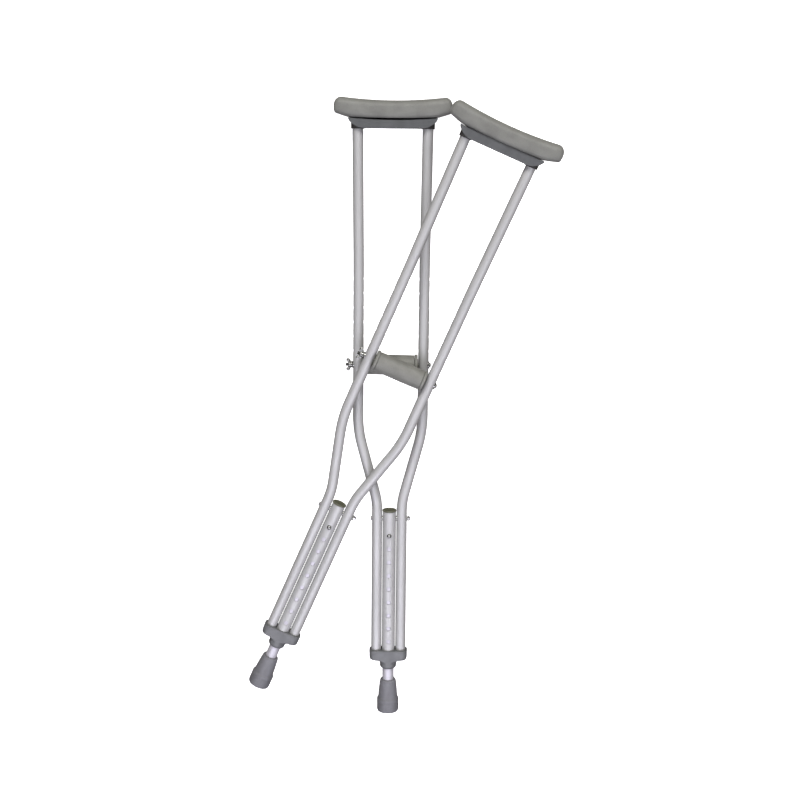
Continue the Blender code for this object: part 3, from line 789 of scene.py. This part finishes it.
def build_rivet(node, radius):
    """Domed rivet head on the back, with a shank into the tube and a drawn-in middle."""
    low, high = cad(node)
    centre = middle(node)
    dome = 1.8 * MM
    head = low.z + dome
    profile = [(0, high.z), (RIVET_RADIUS, high.z), (RIVET_RADIUS, head), (radius, head),
               (radius, head - 0.35 * MM), (radius * 0.92, head - 0.9 * MM),
               (radius * 0.70, head - 1.4 * MM), (radius * 0.45, head - 1.72 * MM),
               (radius * 0.30, head - dome), (radius * 0.22, head - 1.3 * MM),
               (0, head - 1.2 * MM)]
    made = lathe(node, profile, "Z", (centre.x, centre.y, 0), 32)
    place(made, node, "frame", "zinc_plate")


# ---- yoke, tip and snap button ----------------------------------------------------------
def build_yoke():
    """Moulded clamp on the feet of the three tubes, flowing into a round neck below."""
    low, high = cad("yoke")
    neck = high.z
    nearly_round = 0.999        # corner radius over half width, which leaves a little straight
    # the neck: height above its foot, and how much narrower it is there, in millimetres
    levels = [(0, 3.8), (0.6, 2.6), (1.8, 1.3), (3.4, 0.4), (5.0, 0), (9.0, 0), (11.6, 0)]
    rings = []
    for rise, less in levels:
        radius = neck - less * MM
        rings.append(rounded_ring(radius, radius, radius * nearly_round, low.y + rise * MM))
    # above the neck: height above its foot, half width, half depth and corner radius, in
    # millimetres
    flare = [(12.8, 16.0, 15.0, 14.6), (14.2, 18.4, 14.8, 13.4), (15.8, 20.8, 14.6, 12.6),
             (17.0, 23.4, 14.5, 11.6), (17.6, 27.0, 14.5, 10.6), (17.8, 30.4, 14.5, 9.8),
             (18.2, 32.4, 14.5, 9.6), (19.2, 33.7, 14.5, 9.5), (20.8, 34.4, 14.5, 9.5),
             (23.0, 34.7, 14.5, 9.5), (31.0, 34.9, 14.5, 9.5), (34.6, 35.0, 14.5, 9.5),
             (35.5, 34.8, 14.3, 9.3), (36.0, 34.2, 13.7, 8.9)]
    for rise, wide, deep, round_off in flare:
        rings.append(rounded_ring(wide * MM, deep * MM, round_off * MM, low.y + rise * MM))
    body = loft("yoke", rings, smooth=40)
    under, over = 60 * MM, 140 * MM               # heights that the yoke lies between
    for x, radius in ((-GROUP_HALF, BOW_RADIUS), (0, CENTRE_RADIUS), (GROUP_HALF, BOW_RADIUS)):
        socket = ((x, TUBE_FOOT - GAP, 0), (x, over, 0), radius + GAP)
        combine(body, rods("socket", [socket], 56))
    combine(body, rods("leg_bore", [((0, under, 0), (0, over, 0), LEG_RADIUS + GAP)], 56))
    rivet = middle("yoke_rivet")
    hole = ((0, rivet.y, -DRILL), (0, rivet.y, -11 * MM), RIVET_RADIUS + HOLE_PLAY)
    combine(body, rods("rivet_hole", [hole], 20))
    shade(body, 35)
    place(body, "yoke", "frame", "moulding")


def build_tip():
    """Rubber tip: rolled rim, cone, stepped base band and a sole with grip rings."""
    high = cad("rubber_tip")[1]
    top, radius = high.y, high.x
    step = 24.8 * MM            # height of the base band
    sole = 7.5 * MM             # thickness under the leg's socket
    socket = LEG_RADIUS + GAP
    profile = [(0, sole), (socket, sole), (socket, top - 0.6 * MM),
               (socket + 0.5 * MM, top), (12.4 * MM, top),
               (13.5 * MM, top - 0.4 * MM), (14.3 * MM, top - 1.5 * MM),
               (14.8 * MM, top - 3.2 * MM), (15.0 * MM, top - 4.6 * MM),
               (14.9 * MM, top - 5.4 * MM), (15.2 * MM, top - 6.4 * MM),
               (15.6 * MM, top - 10.0 * MM), (16.3 * MM, 46 * MM), (16.9 * MM, 40 * MM),
               (17.4 * MM, 33 * MM), (17.7 * MM, step + 4.4 * MM),
               (18.1 * MM, step + 2.4 * MM), (18.8 * MM, step + 1.1 * MM),
               (19.5 * MM, step + 0.3 * MM), (19.9 * MM, step - 0.6 * MM),
               (radius, step - 2.0 * MM), (radius, 18.6 * MM), (radius - 0.5 * MM, 18.2 * MM),
               (radius - 0.5 * MM, 17.4 * MM), (radius, 17.0 * MM), (radius, 3.2 * MM),
               (radius - 0.5 * MM, 1.4 * MM), (radius - 1.1 * MM, 0.4 * MM),
               (radius - 2.0 * MM, 0)]
    for ring in (15.4, 12.2, 9.0, 5.8):           # grooves of the sole, outer radii in mm
        profile += [(ring * MM, 0), ((ring - 0.4) * MM, 1.1 * MM),
                    ((ring - 1.2) * MM, 1.1 * MM), ((ring - 1.6) * MM, 0)]
    made = lathe("rubber_tip", profile + [(0, 0)], steps=72)
    place(made, "rubber_tip", "leg", "tip_rubber")


def build_button():
    """Domed button that sits in the leg and shows in a hole of the centre tube."""
    low, high = cad("snap_button")
    tip, radius = high.z, BUTTON_RADIUS
    crown = 3.2 * MM
    profile = [(0, low.z), (radius - 0.3 * MM, low.z), (radius, low.z + 0.3 * MM)]
    for i in range(9):
        angle = math.radians(i * 90 / 8)
        profile.append((radius * math.cos(angle), tip - crown + crown * math.sin(angle)))
    profile[-1] = (0, tip)
    made = lathe("snap_button", profile, "Z", (0, BUTTON_Y, 0), 40)
    place(made, "snap_button", "button", "zinc_plate")


def build_snap_spring():
    """Bent strip inside the leg; each crutch's copy gets a mesh of its own."""
    low, high = cad("snap_spring")
    half, skin, bend = high.x, 0.3 * MM, 3.5 * MM
    arm = high.z - skin
    bend_y, knee_y = low.y + bend + skin, BUTTON_Y - 6 * MM
    path = [(high.y, arm), (knee_y, arm)]
    for i in range(17):
        angle = math.pi * (0.5 + i / 16)
        path.append((bend_y + bend * math.cos(angle), bend * math.sin(angle)))
    path += [(knee_y, -arm), (high.y, -arm)]
    rings = []
    for before, (y, z), after in zip([path[0]] + path, path, path[1:] + [path[-1]]):
        across = Vector((before[1] - after[1], after[0] - before[0])).normalized() * skin
        rings.append([(half, y + across.x, z + across.y), (-half, y + across.x, z + across.y),
                      (-half, y - across.x, z - across.y), (half, y - across.x, z - across.y)])
    place(loft("snap_spring", rings, smooth=40), "snap_spring", "leg", "spring_steel")
    for side in SIDES:
        piece = bpy.data.objects[side + "_snap_spring_detail"]
        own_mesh(piece)


# ---- cross bolt -------------------------------------------------------------------------
def cross_slots(crown, reach, width, depth):
    """Tool for a cross recess in a head whose crown is at x = crown."""
    near, far = crown - depth, crown + depth
    shapes = []
    for w, d in ((width, reach), (reach, width)):
        shapes.append(plate("slot", [(near, -w), (far, -w), (far, w), (near, w)], -d, d))
    return combine(shapes[0], shapes[1], "UNION")


def build_cross_bolt():
    """Bolt through the three tubes, with its washer, its nut and two spacers."""
    low, high = cad("cross_bolt")
    outer = GROUP_HALF + BOW_RADIUS
    height = -low.x - outer - GAP
    head = [(r, -h) for r, h in screw_head(HEAD_RADIUS, height, outer + GAP)]
    shank = [(CROSS_RADIUS, -outer - GAP)]
    thread = threaded(CROSS_RADIUS, outer - 2 * MM, high.x - 0.3 * MM)
    profile = head + shank + thread + [(1.6 * MM, high.x), (0, high.x)]
    bolt = lathe("cross_bolt", profile, "X", (0, CROSS_Y, 0), 40)
    tool = cross_slots(low.x, 2.2 * MM, 0.5 * MM, 1.3 * MM)
    tool.location.y = CROSS_Y
    combine(bolt, tool)
    shade(bolt)
    place(bolt, "cross_bolt", "frame", "zinc_plate")

    bore = CROSS_RADIUS + GAP
    near, far = outer + GAP, outer + 1.2 * MM
    washer = lathe("cross_washer", [(bore, far), (4.6 * MM, far), (4.8 * MM, far - 0.2 * MM),
                                    (4.8 * MM, near + 0.2 * MM), (4.6 * MM, near), (bore, near)],
                   "X", (0, CROSS_Y, 0), 40, loop=True)
    place(washer, "cross_washer", "frame", "zinc_plate")

    near, far = outer + 1.5 * MM, outer + 5.5 * MM
    corner = 4.3 * MM
    hexagon = lathe("cross_nut", [(0, far), (corner, far), (corner, near), (0, near)], "X",
                    (0, CROSS_Y, 0), 6)
    dome = lathe("chamfer", [(0, far + 0.05 * MM), (3.7 * MM, far + 0.05 * MM),
                             (4.5 * MM, far - 0.7 * MM), (4.5 * MM, near + 0.7 * MM),
                             (3.7 * MM, near - 0.05 * MM), (0, near - 0.05 * MM)], "X",
                 (0, CROSS_Y, 0), 48)
    combine(hexagon, dome, "INTERSECT")
    hole = ((near - 5 * MM, CROSS_Y, 0), (far + 5 * MM, CROSS_Y, 0), bore)
    combine(hexagon, rods("bore", [hole], 32))
    shade(hexagon, 25)
    place(hexagon, "cross_nut", "frame", "zinc_plate")

    rim, near, far = 4.4 * MM, 9.5 * MM, 16.5 * MM
    profile = [(bore, far), (rim, far), (rim, near), (bore, near)]
    for node, sign in (("spacer_left", -1), ("spacer_right", 1)):
        spacer = sleeve(node, profile, sign, CROSS_Y, 40)
        for x, radius in ((0, CENTRE_RADIUS), (sign * GROUP_HALF, BOW_RADIUS)):
            clearance = ((x, CROSS_Y - 20 * MM, 0), (x, CROSS_Y + 20 * MM, 0), radius + GAP)
            combine(spacer, rods("clearance", [clearance], 64))
        shade(spacer)
        place(spacer, node, "frame", "zinc_plate")


# ---- hand grip, its bolt and wing nut ---------------------------------------------------
def seat_cut(obj, x):
    """Cuts an object to the round of the tube at x, beside the grip."""
    tube = ((x, GRIP_Y - 30 * MM, 0), (x, GRIP_Y + 30 * MM, 0), BOW_RADIUS + GAP)
    combine(obj, rods("seat", [tube], 64))
    shade(obj, 40)
    return obj


def build_grip():
    """Foam sleeve, fuller in the middle, and a ring at each of its ends."""
    end = cad("hand_grip")[1].x
    radius = 17.8 * MM          # at the middle
    waist = 17.2 * MM           # at the ends
    core = span("grip_core").y / 2 + GAP
    profile = [(core, end), (waist - 1.0 * MM, end), (waist - 0.3 * MM, end - 0.3 * MM),
               (waist, end - 1.0 * MM)]
    for i in range(17):
        share = 1 - i / 8
        h = share * (end - 3 * MM)
        profile.append((radius - (radius - waist) * abs(share) ** 2.5, h))
    profile += [(waist, 1.0 * MM - end), (waist - 0.3 * MM, 0.3 * MM - end),
                (waist - 1.0 * MM, -end), (core, -end)]
    grip = lathe("hand_grip", profile, "X", (0, GRIP_Y, 0), 64, loop=True)
    place(grip, "hand_grip", "grip", "soft_grip")

    for node, sign in (("grip_ring_left", -1), ("grip_ring_right", 1)):
        low, high = cad(node)
        near, far = sorted((abs(low.x), abs(high.x)))
        rim = high.z
        profile = [(core, far), (rim - 1.6 * MM, far), (rim - 0.7 * MM, far - 0.3 * MM),
                   (rim - 0.15 * MM, far - 1.0 * MM), (rim, far - 1.9 * MM),
                   (rim, near + 1.5 * MM), (rim - 0.2 * MM, near + 0.7 * MM),
                   (rim - 0.8 * MM, near + 0.15 * MM), (rim - 1.6 * MM, near), (core, near)]
        place(sleeve(node, profile, sign, GRIP_Y, 64), node, "grip", "soft_grip")


def build_grip_bolt():
    """Bolt through the grip, with a washer at each end, cut to the round of the tube."""
    low, high = cad("grip_bolt")
    outer = GRIP_HALF + BOW_RADIUS
    seat = WASHER_FACE
    head = screw_head(HEAD_RADIUS, high.x - seat - GAP, seat + GAP)
    thread = threaded(BOLT_RADIUS, 4 * MM - outer, low.x + 0.5 * MM)
    profile = head + [(BOLT_RADIUS, seat + GAP)] + thread + [(2.0 * MM, low.x), (0, low.x)]
    bolt = lathe("grip_bolt", profile, "X", (0, GRIP_Y, 0), 40)
    tool = cross_slots(high.x, 2.3 * MM, 0.5 * MM, 1.4 * MM)
    tool.location.y = GRIP_Y
    combine(bolt, tool)
    shade(bolt)
    place(bolt, "grip_bolt", "grip", "zinc_plate")

    bore = BOLT_RADIUS + GAP
    foot = outer - 3 * MM
    profile = [(bore, seat), (5.8 * MM, seat), (6.1 * MM, seat - 0.3 * MM),
               (6.6 * MM, foot), (bore, foot)]
    for node, sign in (("nut_washer", -1), ("head_washer", 1)):
        washer = sleeve(node, profile, sign, GRIP_Y, 48)
        place(seat_cut(washer, sign * GRIP_HALF), node, "grip", "zinc_plate")


def build_wing_nut():
    """Hub with a flanged foot and two wings that splay out and end in round lobes."""
    seat = WASHER_FACE + GAP
    profile = [(0, 0), (5.3 * MM, 0), (5.6 * MM, 0.3 * MM), (5.6 * MM, 1.2 * MM),
               (5.1 * MM, 1.9 * MM), (4.8 * MM, 4.5 * MM), (4.6 * MM, 6.3 * MM),
               (4.2 * MM, 6.8 * MM), (0, 6.8 * MM)]
    hub = lathe("wing_nut", [(r, -seat - h) for r, h in profile], "X", (0, GRIP_Y, 0), 48)
    lobe = (7.2 * MM, 8.0 * MM)
    half = 1.15 * MM            # half a wing's thickness
    for sign in (-1, 1):
        # starts 1 mm from the middle, so that the two wings don't meet inside the hub
        outline = [(0.8 * MM, 1.0 * MM), (0.8 * MM, 4.4 * MM), (2.4 * MM, 6.4 * MM)]
        outline += arc(lobe, 3.4 * MM, 165, -60, 20)
        outline += [(6.3 * MM, 2.6 * MM), (5.9 * MM, 1.0 * MM)]
        points = [(-seat - x, GRIP_Y + sign * y) for x, y in outline]
        wing = plate("wing", points, -half, half)
        soften(wing, 0.45 * MM, 3, 50)
        combine(hub, wing, "UNION")
        knob = lathe("lobe", [(0, 2.1 * MM), (1.4 * MM, 2.0 * MM), (2.5 * MM, 1.5 * MM),
                              (3.2 * MM, 0.6 * MM), (3.2 * MM, -0.6 * MM),
                              (2.5 * MM, -1.5 * MM), (1.4 * MM, -2.0 * MM), (0, -2.1 * MM)],
                     "Z", (-seat - lobe[0], GRIP_Y + sign * lobe[1], 0), 32)
        combine(hub, knob, "UNION")
    bore = ((5 * MM - seat, GRIP_Y, 0), (-seat - 20 * MM, GRIP_Y, 0), BOLT_RADIUS + GAP)
    combine(hub, rods("bore", [bore], 32))
    shade(hub, 35)
    place(hub, "wing_nut", "wing", "zinc_plate")


build_tubes()
build_cap()
build_pad()
build_saddle()
for rivet_node, rivet_head in (("saddle_rivet_left", 3.4 * MM), ("saddle_rivet_right", 3.4 * MM),
                               ("yoke_rivet", 3.5 * MM)):
    build_rivet(rivet_node, rivet_head)
build_yoke()
build_tip()
build_button()
build_snap_spring()
build_cross_bolt()
build_grip()
build_grip_bolt()
build_wing_nut()

# CAD pieces that are shown as they are
CARRIED = {"leg_plug": "cap_plastic", "grip_core": "cap_plastic",
           "tip_washer": "spring_steel"}
for node, slot in CARRIED.items():
    for side in SIDES:
        kept = frame["nodes"][side + "_" + node]
        kept.data.materials.clear()
        kept.data.materials.append(FINISHES[slot])


# ---- floor, light and camera ------------------------------------------------------------
def build_floor():
    """White floor that gives off light, but sends none to the crutches."""
    shape = bmesh.new()
    half_side = 6.0             # metres
    bmesh.ops.create_grid(shape, x_segments=1, y_segments=1, size=half_side)
    floor = from_bmesh("floor", shape)
    made = Finish("pale_floor", (0.93, 0.93, 0.93), 0.9)
    made.shader.inputs["Specular IOR Level"].default_value = 0.1
    made.shader.inputs["Emission Color"].default_value = (1, 1, 1, 1)
    made.shader.inputs["Emission Strength"].default_value = 0.95
    floor.data.materials.append(made.material)
    floor.visible_diffuse = False
    floor.visible_glossy = False


def build_light(name, position, target, size, watts, colour):
    """A rectangular area light, aimed at a point."""
    data = bpy.data.lights.new(name, "AREA")
    data.shape = "RECTANGLE"
    data.size, data.size_y = size
    data.energy = watts
    data.color = colour
    made = add_object(name, data)
    made.location = position
    aim = Vector(target) - Vector(position)
    made.rotation_euler = aim.to_track_quat("-Z", "Y").to_euler()


def build_camera():
    """Camera high above the pads' end, tilted towards the tips."""
    sole = PLACE["a"].translation
    eye = Vector((sole.x + 20.7 * MM, sole.y + 1010.5 * MM, 2211.2 * MM))
    tilt, lean, roll = -10.853, 0.095, 0.631      # degrees about X, Y and Z
    data = bpy.data.cameras.new("camera")
    data.sensor_width = 36                        # millimetres, as is the lens
    data.lens = 56.25
    camera = add_object("camera", data)
    turn = Matrix.Rotation(math.radians(tilt), 4, "X")
    turn = turn @ Matrix.Rotation(math.radians(lean), 4, "Y")
    turn = turn @ Matrix.Rotation(math.radians(roll), 4, "Z")
    camera.matrix_world = Matrix.Translation(eye) @ turn
    bpy.context.scene.camera = camera


def build_world():
    """Pale studio above, dim below, so that undersides stay dark."""
    world = bpy.data.worlds.new("studio")
    bpy.context.scene.world = world
    world.use_nodes = True
    tree = world.node_tree
    direction = tree.nodes.new("ShaderNodeTexCoord")
    split = tree.nodes.new("ShaderNodeSeparateXYZ")
    height = tree.nodes.new("ShaderNodeMapRange")
    height.inputs["From Min"].default_value = -1.0
    ramp = tree.nodes.new("ShaderNodeValToRGB")
    # from straight down at 0, by the horizon at 0.5, to straight up at 1
    set_stops(ramp, [(0.0, (0.10, 0.085, 0.07)), (0.46, (0.18, 0.16, 0.14)),
                     (0.60, (0.36, 0.36, 0.35)), (1.0, (0.36, 0.36, 0.37))])
    background = tree.nodes["Background"]
    tree.links.new(direction.outputs["Generated"], split.inputs["Vector"])
    tree.links.new(split.outputs["Z"], height.inputs["Value"])
    tree.links.new(height.outputs["Result"], ramp.inputs["Fac"])
    tree.links.new(ramp.outputs["Color"], background.inputs["Color"])


# name, position and target in metres, size in metres, watts, colour
LIGHTS = (
    ("key", (0.3, 3.4, 2.6), (0, 0, 0), (5.0, 1.2), 215, (1.0, 0.985, 0.95)),
    ("overhead", (0.0, -0.5, 3.2), (0, -0.3, 0), (5.0, 2.4), 7, (1.0, 1.0, 1.0)),
    ("low_end", (0.0, -1.6, 2.6), (0, -0.4, 0), (5.0, 1.2), 100, (0.90, 0.88, 1.0)),
)

build_floor()
for light in LIGHTS:
    build_light(*light)
build_camera()
build_world()
bpy.context.scene.view_settings.view_transform = "Standard"
bpy.context.scene.view_settings.look = "None"
